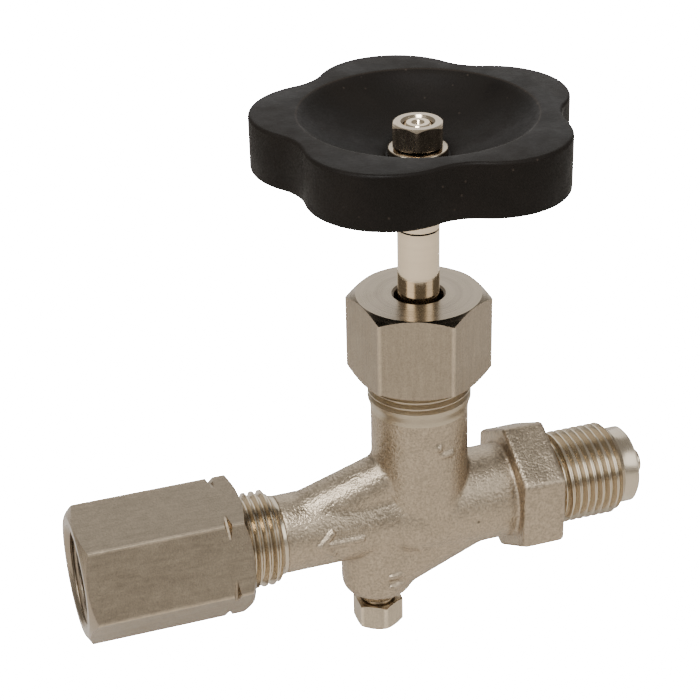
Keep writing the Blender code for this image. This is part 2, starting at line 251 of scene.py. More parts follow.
# %% The threading tool
def threading_tool(name, mouth, floor, pitch, start, end, hand=1, steps=72):
    """The path of a threading tool: widest at the mouth radius, narrow at the floor."""
    pick()
    wide, narrow = 0.88 * pitch, 0.15 * pitch
    middle, depth = (mouth + floor) / 2 * MM, (mouth - floor) * MM
    bpy.ops.mesh.primitive_plane_add(size=1, rotation=(pi / 2, 0, 0))
    tool = bpy.context.object
    tool.name = name
    tool.scale = (abs(depth), narrow * MM, 1)
    tool.location = (middle, 0, start * MM)
    settle(tool)
    edit(tool)
    bpy.ops.mesh.delete(type="ONLY_FACE")
    choose(tool, lambda corner: abs(corner.co.x - mouth * MM) < 10 * TINY)
    bpy.ops.transform.resize(value=(1, 1, wide / narrow),
                             center_override=(mouth * MM, 0, start * MM))
    bpy.ops.object.mode_set(mode="OBJECT")
    apply_modifier(tool, "SCREW", angle=2 * pi * hand, screw_offset=pitch * MM,
                   iterations=ceil((end - start) / pitch), steps=steps, render_steps=steps,
                   use_merge_vertices=False)
    edit(tool)
    bpy.ops.mesh.select_all(action="DESELECT")
    bpy.ops.mesh.select_non_manifold()
    bpy.ops.mesh.fill_holes(sides=4)
    bpy.ops.mesh.select_all(action="SELECT")
    bpy.ops.mesh.normals_make_consistent(inside=False)
    bpy.ops.object.mode_set(mode="OBJECT")
    return tool


# %% [markdown]
# ## Hexagons
# A nut starts as hexagon bar. Its ends are then turned to a cone, and where the cone meets the
# six flats it leaves the curved edges that make a nut look like a nut. Here a six-sided
# cylinder is trimmed by a turned barrel, and a narrow bevel breaks the long edges.


# %% Hexagon bar with turned ends
def hexagon_bar(name, across, low, high, corner, barrel=None, edge=0.18):
    """A hexagonal prism, one corner at that angle in degrees, trimmed by a turned barrel."""
    spare = 2.0 if barrel else 0
    pick()
    bpy.ops.mesh.primitive_cylinder_add(
        vertices=6, radius=across / sqrt(3) * MM, depth=(high - low + spare) * MM,
        location=(0, 0, (low + high) / 2 * MM), rotation=(0, 0, radians(corner - 90)))
    bar = settle(bpy.context.object)
    bar.name = name
    bar.data.name = name
    if edge:
        heights = [corner.co.z for corner in bar.data.vertices]
        choose(bar, lambda side: abs(heights[side.vertices[0]] - heights[side.vertices[1]]) > MM,
               "edges")
        bpy.ops.mesh.bevel(offset=edge * MM, segments=2, affect="EDGES")
        bpy.ops.object.mode_set(mode="OBJECT")
    if barrel:
        carve(bar, lathe(name + "_barrel", barrel, steps=192), "INTERSECT")
    return bar


# %% [markdown]
# ## The cast body
# The body is one casting: a neck, two arms, a rib that hides the slanting drilling to the
# gauge side, a wedge under it, and a boss for the vent screw. A founder makes the pattern
# from simple solids and rubs wax fillets into every inner corner. Here the simple solids are
# joined, remeshed as one skin, and smoothed, which leaves the same soft fillets. The neck and
# the gauge arm are made too long and cut square afterwards, so the smoothing can't round the
# ends that the lathe will face.


# %% Solids for the pattern
def slanting_bar(start, end, radius, end_radius=None):
    """A round bar or cone between two (station, height) points beside the stem axis."""
    pick()
    run = Vector((end[0] - start[0], 0, end[1] - start[1]))
    middle = Vector((start[0] + end[0], 0, start[1] + end[1])) / 2
    bpy.ops.mesh.primitive_cone_add(
        vertices=96, radius1=radius * MM, radius2=(end_radius or radius) * MM,
        depth=run.length * MM, location=middle * MM,
        rotation=run.to_track_quat("Z", "Y").to_euler())
    return settle(bpy.context.object)


def join_up(piece, others, skin, iterations):
    """Joins closed solids, gives them one skin and smooths it."""
    pick(piece, *others)
    bpy.ops.object.join()
    apply_modifier(piece, "REMESH", mode="VOXEL", voxel_size=skin, adaptivity=0.0)
    apply_modifier(piece, "SMOOTH", factor=0.5, iterations=iterations)


def cut_off(piece, point, outwards):
    """Cuts a piece square at that point, and closes it."""
    edit(piece)
    bpy.ops.mesh.bisect(plane_co=Vector(point) * MM, plane_no=outwards, use_fill=True,
                        clear_outer=True)
    bpy.ops.object.mode_set(mode="OBJECT")


# %% Cast blank
INLET_ARM, GAUGE_ARM, NECK, RIB, BOSS = 10.65, 8.65, 10.6, 6.2, 8.1
HEX_FACES = (19.7, 29.6)
NECK_TOP, GAUGE_ARM_END, BOSS_END = 26.9, -33.1, span("valve_body")[0]
SPARE = 4.0
FILLET_SKIN, FILLET_SMOOTHING = 0.5 * MM, 13
FROM_STEM_TO_VENT = Matrix.Translation((VENT_X - STEM_X, 0, 0))

both_arms = lathe("cast_body", [
    (0, HEX_FACES[0] + 2), (INLET_ARM, HEX_FACES[0] + 2), (INLET_ARM, -2.6),
    (INLET_ARM - 0.45, -4.6), (9.5, -6.6), (8.9, -9.4), (GAUGE_ARM, -13.0),
    (GAUGE_ARM, GAUGE_ARM_END - SPARE), (0, GAUGE_ARM_END - SPARE)], steps=96)
cast_body = settle(both_arms, LAID_DOWN)
neck = lathe("neck", [(0, NECK_TOP + SPARE), (NECK, NECK_TOP + SPARE), (NECK, -0.4), (0, -0.4)],
             steps=96)
boss = lathe("boss", [(0, -1), (BOSS, -1), (BOSS, -16.8), (BOSS - 0.5, -17.9),
                      (5.2, BOSS_END + 0.1), (0, BOSS_END + 0.1)], steps=96)
settle(boss, FROM_STEM_TO_VENT)
rib = slanting_bar((-32.5, 0.9), (-2.0, 10.9), RIB)
wedge = slanting_bar((15.1, 0.2), (-8.3, -11.8), 9.4, 7.9)
join_up(cast_body, (neck, boss, rib, wedge), FILLET_SKIN, FILLET_SMOOTHING)
cut_off(cast_body, (0, 0, NECK_TOP), (0, 0, 1))
cut_off(cast_body, (GAUGE_ARM_END, 0, 0), (-1, 0, 0))
report(cast_body)

# %% [markdown]
# ### Marks of the founder
# A founder raises marks on the pattern: here a flow arrow on the gauge arm, two bars on the
# boss, a dot and a dash on the neck, and the faint line where the halves of the mould parted.
# Each is a chain of short bars with round ends that follows the curved skin, so that it stands
# out equally all along.


# %% Founder's marks
def raised_bar(low, high, thickness):
    """A bar with round ends between two points on the skin, as a casting mark."""
    pick()
    run = (high - low) * MM
    bpy.ops.mesh.primitive_uv_sphere_add(segments=24, ring_count=12, radius=thickness * MM)
    mark = bpy.context.object
    choose(mark, lambda vertex: vertex.co.z > TINY)
    bpy.ops.transform.translate(value=(0, 0, run.length))
    bpy.ops.object.mode_set(mode="OBJECT")
    mark.rotation_euler = run.to_track_quat("Z", "Y").to_euler()
    mark.location = low * MM
    return settle(mark)


def raised_line(points, thickness=0.75):
    """A mark that follows the skin from point to point."""
    return [raised_bar(low, high, thickness) for low, high in zip(points, points[1:])]


def on_arm(station, height):
    """A point on the front of the gauge arm."""
    return Vector((station, -sqrt(GAUGE_ARM ** 2 - height ** 2), height))


def on_upright(radius, axis, station, height):
    """A point on the front of the neck or of the boss, that far beside its axis."""
    return Vector((axis + station, -sqrt(radius ** 2 - station ** 2), height))


ARROW_TIP, ARROW_TAIL, ARROW_HEIGHT = -26.0, -16.5, 0.4
arrow_tip = on_arm(ARROW_TIP, ARROW_HEIGHT)
founders_marks = raised_line([arrow_tip, on_arm(ARROW_TAIL, ARROW_HEIGHT)])
for side in (-1, 1):
    founders_marks += raised_line([arrow_tip, on_arm(ARROW_TIP + 1.4, ARROW_HEIGHT + side * 1.3),
                                   on_arm(ARROW_TIP + 2.8, ARROW_HEIGHT + side * 2.5)])
vent_station = (VENT_X - STEM_X) / MM
for height in (-14.6, -11.8):
    founders_marks += raised_line([on_upright(BOSS, vent_station, 0.4 + step, height)
                                   for step in range(5)])
for height, stations in ((18.6, (1.6, 2.6, 3.6)), (20.6, (0.4, 0.5))):
    founders_marks += raised_line([on_upright(NECK, 0, station, height) for station in stations])
PARTING_STATION, PARTING_REACH = -3.4, 10.2
founders_marks += raised_line([
    Vector((PARTING_STATION, -sqrt(PARTING_REACH ** 2 - height ** 2), height))
    for height in (7.0, 4.0, 1.0, -2.0, -5.0)], thickness=0.5)
print(len(founders_marks), "short bars for the marks")

# %% [markdown]
# ### The skin of the casting
# The hexagon for the wrench is cast too, but its corners are far crisper than the fillets. So
# it and the marks are joined on last, in a finer skin that is hardly smoothed. A Displace
# modifier then makes the skin slightly uneven, as sand does, and the neck and the vent are
# bored.

# %% Hexagon, skin and bores
WRENCH, SMALL_WRENCH = 27.0, 10.0
SKIN, SKIN_SMOOTHING = 0.33 * MM, 2
SAND_SIZE, SAND_DEPTH = 1.0 * MM, 0.12 * MM

cast_hexagon = hexagon_bar("cast_hexagon", WRENCH, *HEX_FACES, 0, edge=0)
settle(cast_hexagon, LAID_DOWN)
apply_modifier(cast_hexagon, "BEVEL", width=0.9 * MM, segments=3, limit_method="ANGLE",
               angle_limit=radians(50))
join_up(cast_body, [cast_hexagon] + founders_marks, SKIN, SKIN_SMOOTHING)
sand = bpy.data.textures.new("sand", "CLOUDS")
sand.noise_scale = SAND_SIZE
sand.noise_depth = 2
apply_modifier(cast_body, "DISPLACE", texture=sand, texture_coords="LOCAL",
               mid_level=0.5, strength=SAND_DEPTH)
stem_bore = lathe("stem_bore", [(0, 40), (8.0, 40), (8.0, 22.0), (0, 22.0)])
vent_bore = lathe("vent_bore", [(0, -9.0), (2.4, -9.0), (2.4, -13.2), (4.2, -13.4), (4.2, -30),
                                (0, -30)])
settle(vent_bore, FROM_STEM_TO_VENT)
carve(cast_body, stem_bore)
carve(cast_body, vent_bore)
settle(cast_body, STANDING)
smooth(cast_body, 60)
report(cast_body)

# %% [markdown]
# ## Machined ends of the body
# Only the ends that seal or carry a thread are machined. Each is its own turned blank with a
# threading tool run along it. The inlet spigot has a right-hand thread, the gauge side a
# left-hand one, so that one turn of the sleeve draws both ends together.

# %% Inlet spigot
CREST, ROOT, PITCH = 10.48, 9.3, 1.814
NOSE, PIN = 8.75, 3.0
INLET_FACE = -STEM_X / MM

inlet_spigot = lathe("inlet_spigot", [
    (0, 40.0), (2.0, 40.0), (2.0, INLET_FACE + 2.9), (2.15, INLET_FACE + 3.0),
    (PIN - 0.4, INLET_FACE + 3.0), (PIN, INLET_FACE + 2.6), (PIN, INLET_FACE),
    (NOSE - 0.8, INLET_FACE), (NOSE, INLET_FACE - 0.7), (NOSE, 46.6), (NOSE + 0.1, 46.4),
    (CREST - 0.12, 45.0), (CREST, 44.8), (CREST, 32.3), (CREST - 0.1, 32.1), (ROOT - 0.2, 30.9),
    (ROOT - 0.2, 30.0), (ROOT + 0.1, 29.6), (ROOT + 0.1, 28.8), (0, 28.8)])
carve(inlet_spigot, threading_tool("inlet_tool", CREST + 0.08, ROOT, PITCH, 30.6, 48.4))
settle(smooth(inlet_spigot), LYING)
report(inlet_spigot)

# %% Gauge spigot
GAUGE_FACE = -53.0
gauge_spigot = lathe("gauge_spigot", [
    (0, -31.6), (GAUGE_ARM - 0.3, -31.6), (GAUGE_ARM - 0.25, -33.1), (GAUGE_ARM + 0.05, -33.2),
    (GAUGE_ARM + 0.1, -33.3), (GAUGE_ARM + 0.15, -34.0),
    (CREST, -35.3), (CREST, -48.6), (CREST - 0.1, -48.8), (NOSE, -50.2),
    (NOSE, GAUGE_FACE + 0.35), (NOSE - 0.35, GAUGE_FACE), (PIN, GAUGE_FACE),
    (PIN, GAUGE_FACE - 2.6), (PIN - 0.4, GAUGE_FACE - 3.0), (2.15, GAUGE_FACE - 3.0),
    (2.0, GAUGE_FACE - 2.9), (2.0, -43.0), (0, -43.0)])
carve(gauge_spigot, threading_tool("gauge_tool", CREST + 0.08, ROOT, PITCH, -52.0, -34.4, -1))
settle(smooth(gauge_spigot), LYING)
report(gauge_spigot)

# %% Neck thread
NECK_CREST, NECK_ROOT, NECK_PITCH = 11.2, 10.25, 1.5
neck_thread = lathe("neck_thread", [
    (8.2, 43.9), (10.4, 43.9), (NECK_CREST, 43.1), (NECK_CREST, 28.7), (NECK_CREST - 0.08, 28.5),
    (NECK + 0.1, 27.3), (NECK + 0.03, 27.1), (NECK + 0.03, 26.2), (8.2, 26.2)], closed=True)
carve(neck_thread, threading_tool("neck_tool", NECK_CREST + 0.08, NECK_ROOT, NECK_PITCH,
                                  29.2, 45.0))
settle(smooth(neck_thread), STANDING)
report(neck_thread)

# %% [markdown]
# ## Bonnet nut
# The nut presses the gland down on the packing. Its top is faced on the lathe, so it shows
# fine rings, and both ends are turned to a cone of thirty degrees that just reaches the flats.

# %% Bonnet nut
CONE = 1 / sqrt(3)
BONNET_CORNER = -22.8
bonnet = span("bonnet_nut")


def nut_barrel(face, low, high, reach, low_face=None):
    """A barrel whose two cones leave round faces of those radii."""
    low_face = low_face or face
    return [(0, high), (face, high), (reach, high - (reach - face) * CONE),
            (reach, low + (reach - low_face) * CONE), (low_face, low), (0, low)]


bonnet_nut = hexagon_bar("bonnet_nut_turned", WRENCH, *bonnet, BONNET_CORNER,
                         nut_barrel(13.35, *bonnet, 16.2))
carve(bonnet_nut, lathe("bonnet_bore", [
    (0, 56), (5.75, 56), (5.75, bonnet[1] + 0.02), (5.3, bonnet[1] - 0.4), (5.3, 48.3),
    (11.35, 48.3), (11.35, 35.6), (12.2, 34.6), (12.2, 33), (0, 33)]))
even_out(settle(smooth(bonnet_nut, 22), STANDING))
report(bonnet_nut)

# %% [markdown]
# ## Spindle, bush, washer and nut
# The spindle is ground where the packing grips it. A fine groove shows where the bush of the
# handwheel stands on its shoulder. Above the wheel only the end of the stud is seen, with its
# centre hole from the lathe, a washer and a small nut.

# %% Spindle
SHAFT, STUD, SHOULDER = 4.45, 3.0, 68.2
stud_top = span("spindle")[1]
spindle = lathe("spindle_ground", [
    (0, stud_top - 1.3), (0.45, stud_top - 1.25), (1.25, stud_top - 0.1), (1.4, stud_top),
    (2.35, stud_top), (STUD - 0.05, stud_top - 0.65), (STUD, stud_top - 0.8),
    (STUD, SHOULDER + 0.1), (SHAFT - 0.3, SHOULDER + 0.08), (SHAFT - 0.12, SHOULDER + 0.06),
    (SHAFT, SHOULDER - 0.08), (SHAFT, 19.4), (5.0, 18.8), (5.0, 10.0), (4.4, 9.4), (4.4, 8.0),
    (3.2, 8.0), (3.2, 9.6), (3.7, 9.6), (3.7, 10.4), (3.2, 10.4), (3.2, 12.1), (1.8, 12.1),
    (1.8, 15.4), (0, 15.4)])
carve(spindle, threading_tool("stud_tool", STUD + 0.05, STUD - 0.6, 1.0, 84.0, stud_top + 1.0))
settle(smooth(spindle), STANDING)
report(spindle)

# %% Bush and washer
bush = span("hub_bush")
hub_bush = lathe("hub_bush_turned", [
    (SHAFT - 0.15, bush[1]), (SHAFT, bush[1] - 0.15), (SHAFT, bush[0] + 0.12),
    (SHAFT - 0.15, bush[0]), (STUD + 0.3, bush[0]), (STUD + 0.3, bush[1])], closed=True)
settle(smooth(hub_bush), STANDING)

washer = span("handwheel_washer")
wheel_washer = lathe("handwheel_washer_pressed", [
    (3.5, washer[1]), (5.85, washer[1]), *arc((5.85, washer[1] - 0.35), 0.35, 80, 0, 5),
    (6.2, washer[0] + 0.15), (6.05, washer[0]), (3.3, washer[0]), (3.3, washer[1] - 0.2)],
    closed=True)
settle(smooth(wheel_washer), STANDING)
print("bush from", bush, "and washer from", washer)

# %% Wheel nut
WHEEL_NUT_CORNER, SMALL_EDGE = 7.0, 0.08
small_nut = span("handwheel_nut")
wheel_nut = hexagon_bar("handwheel_nut_turned", SMALL_WRENCH, *small_nut, WHEEL_NUT_CORNER,
                        nut_barrel(4.8, *small_nut, 6.2), edge=SMALL_EDGE)
carve(wheel_nut, lathe("wheel_nut_bore", [
    (0, 95), (3.55, 95), (3.55, small_nut[1] + 0.02), (3.06, small_nut[1] - 0.5), (3.06, 84),
    (0, 84)], steps=96))
even_out(settle(smooth(wheel_nut, 22), STANDING))
report(wheel_nut)

# %% [markdown]
# ## Handwheel
# The wheel is moulded in one piece: a dished top for the nut, a rim swelled into five lobes for
# the fingers, and an underside cored out so that the walls cool evenly, with ribs that carry
# the load from the rim to the hub. It starts as a plain turned dish. The rim is then pushed
# out and in along a rule of lobe arcs and hollow arcs, which leaves its edge rounding even.

# %% Outline of the lobes
LOBES, LOBE_TIP, LOBE_ARC, VALLEY_ARC, FIRST_LOBE = 5, 34.15, 16.2, 12.2, 13.4


def rim_radius(bearing):
    """Lobe arcs joined by hollow arcs, tangent to each other; bearing in radians."""
    half = pi / LOBES
    off_lobe = abs((bearing - radians(FIRST_LOBE) + half) % (2 * half) - half)
    lobe_centre = LOBE_TIP - LOBE_ARC
    reach = LOBE_ARC + VALLEY_ARC
    valley_centre = lobe_centre * cos(half) + sqrt(reach ** 2 - (lobe_centre * sin(half)) ** 2)
    share = LOBE_ARC / reach
    meet_x = lobe_centre + (valley_centre * cos(half) - lobe_centre) * share
    meet_y = valley_centre * sin(half) * share
    if off_lobe < atan2(meet_y, meet_x):
        side = lobe_centre * sin(off_lobe)
        return lobe_centre * cos(off_lobe) + sqrt(LOBE_ARC ** 2 - side ** 2)
    side = valley_centre * sin(half - off_lobe)
    return valley_centre * cos(half - off_lobe) - sqrt(VALLEY_ARC ** 2 - side ** 2)


print("rim radius from", rim_radius(radians(FIRST_LOBE) + pi / LOBES), "to", LOBE_TIP)

# %% The dish
RIM, BOWL_EDGE, BOWL_FLOOR, WASHER_SEAT = 31.4, 24.4, 84.5, 6.8
DISH_STEPS = 14
wheel = span("handwheel")


def bowl_height(radius):
    """The dished top is part of a sphere that meets the rim at its edge."""
    depth = wheel[1] - BOWL_FLOOR
    ball = (BOWL_EDGE ** 2 + depth ** 2) / (2 * depth)
    return BOWL_FLOOR + ball - sqrt(ball ** 2 - radius ** 2)


top_of_dish = [(3.3, BOWL_FLOOR), (WASHER_SEAT - 0.2, BOWL_FLOOR),
               (WASHER_SEAT, BOWL_FLOOR + 0.15)]
for i in range(1, DISH_STEPS + 1):
    radius = WASHER_SEAT + (BOWL_EDGE - WASHER_SEAT) * i / DISH_STEPS
    top_of_dish.append((radius, bowl_height(radius) - (0.06 if i == DISH_STEPS else 0)))
outer_edge = [*arc((RIM - 0.8, wheel[1] - 0.8), 0.8, 90, 0, 6),
              *arc((RIM - 0.5, wheel[0] + 0.5), 0.5, 0, -90, 4)]
underside = [(RIM - 2.9, wheel[0]), (RIM - 3.1, wheel[0] + 0.2), (RIM - 3.5, wheel[1] - 3.6),
             (RIM - 4.0, wheel[1] - 2.8), (BOWL_EDGE + 0.6, wheel[1] - 2.8)]
for i in range(6):
    radius = BOWL_EDGE - (BOWL_EDGE - 10.0) * i / 5
    underside.append((radius, min(bowl_height(radius) - 2.1, wheel[1] - 2.9)))
underside[-1] = (10.0, wheel[0] + 0.35)
rows = [*reversed(top_of_dish), (3.3, wheel[0]), (9.3, wheel[0]), (9.6, wheel[0] + 0.1),
        *reversed(underside), *reversed(outer_edge), (BOWL_EDGE + 0.5, wheel[1]),
        (BOWL_EDGE + 0.15, wheel[1] - 0.02)]
handwheel = lathe("handwheel_moulded", rows, steps=260, closed=True)
report(handwheel)

# %% [markdown]
# ### Ribs and lobes
# The ribs are cubes with one cut across, whose upper points follow the dish, joined on with
# Boolean unions. There are three to a lobe. Last, every point outside the dish is pushed out or
# in with the rule of the lobes, and the more so the nearer it is to the rim.

# %% Ribs and lobes
RIB_COUNT = 3 * LOBES
RIB_START, RIB_THICKNESS, RIB_DEPTH, RIM_WALL = 9.0, 1.3, 6.0, 3.0
for rib_number in range(RIB_COUNT):
    pick()
    bearing = radians(FIRST_LOBE + 360 / RIB_COUNT * rib_number)
    length = RIM - RIM_WALL - RIB_START
    bpy.ops.mesh.primitive_cube_add(size=1)
    rib_blank = bpy.context.object
    rib_blank.scale = (length * MM, RIB_THICKNESS * MM, RIB_DEPTH * MM)
    rib_blank.location = ((RIB_START + length / 2) * MM, 0,
                          (wheel[0] + 0.8 + RIB_DEPTH / 2) * MM)
    settle(rib_blank)
    edit(rib_blank)
    bpy.ops.mesh.subdivide(number_cuts=1)
    bpy.ops.object.mode_set(mode="OBJECT")
    for vertex in rib_blank.data.vertices:
        radius = vertex.co.x / MM
        if vertex.co.z / MM > wheel[0] + 1:
            vertex.co.z = (min(bowl_height(min(radius, BOWL_EDGE)), wheel[1]) - 1.2) * MM
    settle(rib_blank, Matrix.Rotation(bearing, 4, "Z"))
    carve(handwheel, rib_blank, "UNION")

for vertex in handwheel.data.vertices:
    radius, bearing = vertex.co.xy.length / MM, atan2(vertex.co.y, vertex.co.x)
    swell = min(max((radius - BOWL_EDGE - 0.5) / (RIM - 4.0 - BOWL_EDGE - 0.5), 0), 1)
    push = (rim_radius(bearing) - RIM) * swell
    vertex.co.xy *= (radius + push) / max(radius, TINY)
settle(smooth(handwheel, 35), STANDING)
report(handwheel)

# %% [markdown]
# ## Clamping sleeve
# The sleeve is a length of hexagon bar, bored through, with a left-hand thread towards the
# valve and a right-hand thread for the gauge. The corners are notched near the left-hand end,
# which is how a fitter tells the two apart. Its gauge end is open to view, so that thread is cut
# in full; the other end runs on the spigot with a little room.

# %% Clamping sleeve
sleeve = span("clamping_sleeve", "x", STEM_X)
NOTCH, SLEEVE_CORNER = sleeve[1] - 4.6, -139.2
clamping_sleeve = hexagon_bar("clamping_sleeve_milled", WRENCH, *sleeve, SLEEVE_CORNER,
                              nut_barrel(13.5, *sleeve, 16.2, 13.0), edge=0.3)
carve(clamping_sleeve, lathe("sleeve_notch", [
    (17.0, NOTCH + 1.5), (17.0, NOTCH - 1.5), (14.2, NOTCH - 0.25), (14.2, NOTCH + 0.25)],
    closed=True))
carve(clamping_sleeve, lathe("sleeve_bore", [
    (0, sleeve[1] + 3), (11.4, sleeve[1] + 3), (11.4, sleeve[1]), (10.62, sleeve[1] - 0.8),
    (10.62, -58.2), (10.9, -58.4), (10.9, -62.0), (ROOT + 0.05, -62.4),
    (ROOT + 0.05, sleeve[0] + 1.7), (11.0, sleeve[0] + 0.15), (11.2, sleeve[0]),
    (11.2, sleeve[0] - 3), (0, sleeve[0] - 3)]))
carve(clamping_sleeve, threading_tool("sleeve_tool", ROOT, CREST, PITCH, sleeve[0] - 1.0, -61.0))
even_out(settle(smooth(clamping_sleeve, 22), LYING))
report(clamping_sleeve)

# %% Sleeve gasket
gasket = span("sleeve_gasket", "x", STEM_X)
sleeve_gasket = lathe("sleeve_gasket_pressed", [
    (3.6, gasket[1]), (10.1, gasket[1]), (10.3, gasket[1] - 0.2), (10.3, gasket[0] + 0.2),
    (10.1, gasket[0]), (3.6, gasket[0]), (3.4, gasket[0] + 0.2), (3.4, gasket[1] - 0.2)],
    closed=True)
settle(smooth(sleeve_gasket), LYING)
print("gasket from", gasket)

# %% [markdown]
# ## Vent screw
# A short hexagon screw under the boss. Its shank shows a turn or two of thread between the
# head and the boss, and the head has a wider chamfer at its free end.

# %% Vent screw
HEAD_LOW = span("vent_screw")[0]
HEAD_TOP = HEAD_LOW + 6.3
VENT_THREAD, VENT_PITCH, VENT_CORNER = 4.0, 1.25, -90
vent_screw = hexagon_bar("vent_screw_milled", SMALL_WRENCH, HEAD_LOW, HEAD_TOP, VENT_CORNER,
                         nut_barrel(5.2, HEAD_LOW, HEAD_TOP, 6.2, 4.5), edge=SMALL_EDGE)
shank = lathe("vent_shank", [
    (0, -13.8), (2.9, -13.8), (VENT_THREAD, -14.8), (VENT_THREAD, HEAD_TOP + 0.5),
    (VENT_THREAD - 0.5, HEAD_TOP + 0.15), (VENT_THREAD - 0.5, HEAD_TOP - 0.6),
    (0, HEAD_TOP - 0.6)], steps=96)
carve(shank, threading_tool("vent_tool", VENT_THREAD + 0.05, VENT_THREAD - 0.75, VENT_PITCH,
                            HEAD_TOP + 0.4, -12.0))
carve(vent_screw, shank, "UNION")
even_out(settle(smooth(vent_screw, 22), AT_VENT))
report(vent_screw)

# %% Sealing ball
ball_low, ball_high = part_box("vent_ball")
pick()
bpy.ops.mesh.primitive_uv_sphere_add(
    segments=64, ring_count=32, radius=(ball_high.z - ball_low.z) / 2,
    location=(ball_low + ball_high) / 2)
sealing_ball = bpy.context.object
sealing_ball.name = "vent_ball_ground"
settle(smooth(sealing_ball, 60))
print("sealing ball at", (ball_low + ball_high) / 2)

# %% [markdown]
# ## Who carries what
# Each finished piece stands for one solid of the frame, which it hides, is listed with that
# solid's slot, and rides on the body that moves it. The machined ends and the neck thread are
# part of the casting, so they ride on the valve with it.

# %% Riding on the frame
CARRIED = [
    (cast_body, "valve", "cast_stainless", "valve_body"),
    (inlet_spigot, "valve", "turned_stainless", None),
    (gauge_spigot, "valve", "turned_stainless", None),
    (neck_thread, "valve", "turned_stainless", None),
    (bonnet_nut, "valve", "milled_stainless", "bonnet_nut"),
    (spindle, "spindle_set", "turned_stainless", "spindle"),
    (hub_bush, "spindle_set", "turned_stainless", "hub_bush"),
    (handwheel, "spindle_set", "black_plastic", "handwheel"),
    (wheel_washer, "spindle_set", "milled_stainless", "handwheel_washer"),
    (wheel_nut, "spindle_set", "milled_stainless", "handwheel_nut"),
    (clamping_sleeve, "sleeve", "milled_stainless", "clamping_sleeve"),
    (sleeve_gasket, "sleeve_seal", "seal_copper", "sleeve_gasket"),
    (vent_screw, "vent", "milled_stainless", "vent_screw"),
    (sealing_ball, "vent_seal", "turned_stainless", "vent_ball"),
]
for piece, body, slot, node in CARRIED:
    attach(piece, body)
    if node:
        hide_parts(node)

# %% [markdown]
# ## Finishes
# Steel looks like steel because of what it reflects, so its colour hardly changes over the
# surface, and the marks of the lathe, the mill and the mould do the work. Each kind of mark is
# a node group, made once. It puts out numbers that the finishes mix into their colour,
# roughness and bump. Every pattern is laid on Object coordinates, turned by a Mapping node so
# that the piece's own axis is Z.


# %% Making nodes
def add_node(tree, kind, inputs=None, **settings):
    """Adds a node; each input is given a value, or the socket that feeds it."""
    node = tree.nodes.new("ShaderNode" + kind)
    for name, value in settings.items():
        setattr(node, name, value)
    for name, value in (inputs or {}).items():
        if isinstance(value, bpy.types.NodeSocket):
            tree.links.new(value, node.inputs[name])
        else:
            node.inputs[name].default_value = value
    return node


def between(tree, value, low, high, to_low=0.0, to_high=1.0):
    """Stretches low..high to to_low..to_high, and holds it there."""
    return add_node(tree, "MapRange", {"Value": value, "From Min": low, "From Max": high,
                                       "To Min": to_low, "To Max": to_high}).outputs[0]


def spread(tree, noise_value, low, high):
    """Stretches a noise, which hardly ever leaves 0.3 to 0.7, to low..high."""
    return between(tree, noise_value, 0.3, 0.7, low, high)


def calculate(tree, operation, first, second=0.0):
    """One sum on two numbers."""
    return add_node(tree, "Math", {0: first, 1: second}, operation=operation).outputs[0]


def noise(tree, place, scale, detail, roughness=0.5, distortion=0.0):
    """A cloudy pattern, whose lumps get smaller as the scale goes up."""
    return add_node(tree, "TexNoise", {"Vector": place, "Scale": scale, "Detail": detail,
                                       "Roughness": roughness,
                                       "Distortion": distortion}).outputs[0]


def dots(tree, place, scale, channel, share, inner, outer):
    """Small round dots, in that share of the cells of a Voronoi pattern."""
    cells = add_node(tree, "TexVoronoi", {"Vector": place, "Scale": scale})
    lot = add_node(tree, "SeparateColor", {"Color": cells.outputs["Color"]}).outputs[channel]
    near = between(tree, cells.outputs["Distance"], inner, outer, 1.0, 0.0)
    return calculate(tree, "MULTIPLY", near, between(tree, lot, 0.99 - share, 1.01 - share))


def new_group(name, inputs, outputs):
    """An empty node group; its inputs are vectors where their value is None."""
    group = bpy.data.node_groups.new(name, "ShaderNodeTree")
    for label, value in inputs.items():
        kind = "NodeSocketVector" if value is None else "NodeSocketFloat"
        socket = group.interface.new_socket(label, in_out="INPUT", socket_type=kind)
        if value is not None:
            socket.default_value = value
    for label in outputs:
        group.interface.new_socket(label, in_out="OUTPUT", socket_type="NodeSocketFloat")
    return group, group.nodes.new("NodeGroupInput").outputs, group.nodes.new("NodeGroupOutput")


# %% [markdown]
# ### Marks of the foundry, the lathe and the mill
# A casting has a fine grain, soft unevenness and now and then a pit. The bump sinks the pit,
# and its colour is painted darker as the shade inside it. A lathe leaves rings that depend only
# on the distance from the axis and on the height. A drawn or milled flat has faint streaks along
# the bar, and all of them have been handled, which dulls them in patches.


# %% Groups of marks
def foundry_marks():
    """Grain, unevenness and pits of a casting, with painted shade in the pits."""
    group, given, result = new_group(
        "foundry marks", {"Place": None, "Grain": 1900.0}, ["Shade", "Gloss", "Height"])
    grain = noise(group, given["Place"], given["Grain"], 1.0)
    uneven = noise(group, given["Place"], 230.0, 4.0, 0.6)
    pit = dots(group, given["Place"], 190.0, 0, 0.15, 0.04, 0.1)
    shade = calculate(group, "ADD", spread(group, uneven, -0.07, 0.07),
                      spread(group, grain, 0.80, 1.14))
    # Painted shade: the colour is darkened in the pits, as the shade that falls inside them.
    shade = calculate(group, "MULTIPLY", shade, between(group, pit, 0, 1, 1.0, 0.35))
    height = calculate(group, "ADD", calculate(group, "MULTIPLY", grain, 1.6), uneven)
    sunk = calculate(group, "MULTIPLY", pit, 0.5)
    group.links.new(shade, result.inputs["Shade"])
    group.links.new(uneven, result.inputs["Gloss"])
    group.links.new(calculate(group, "SUBTRACT", height, sunk), result.inputs["Height"])
    return group


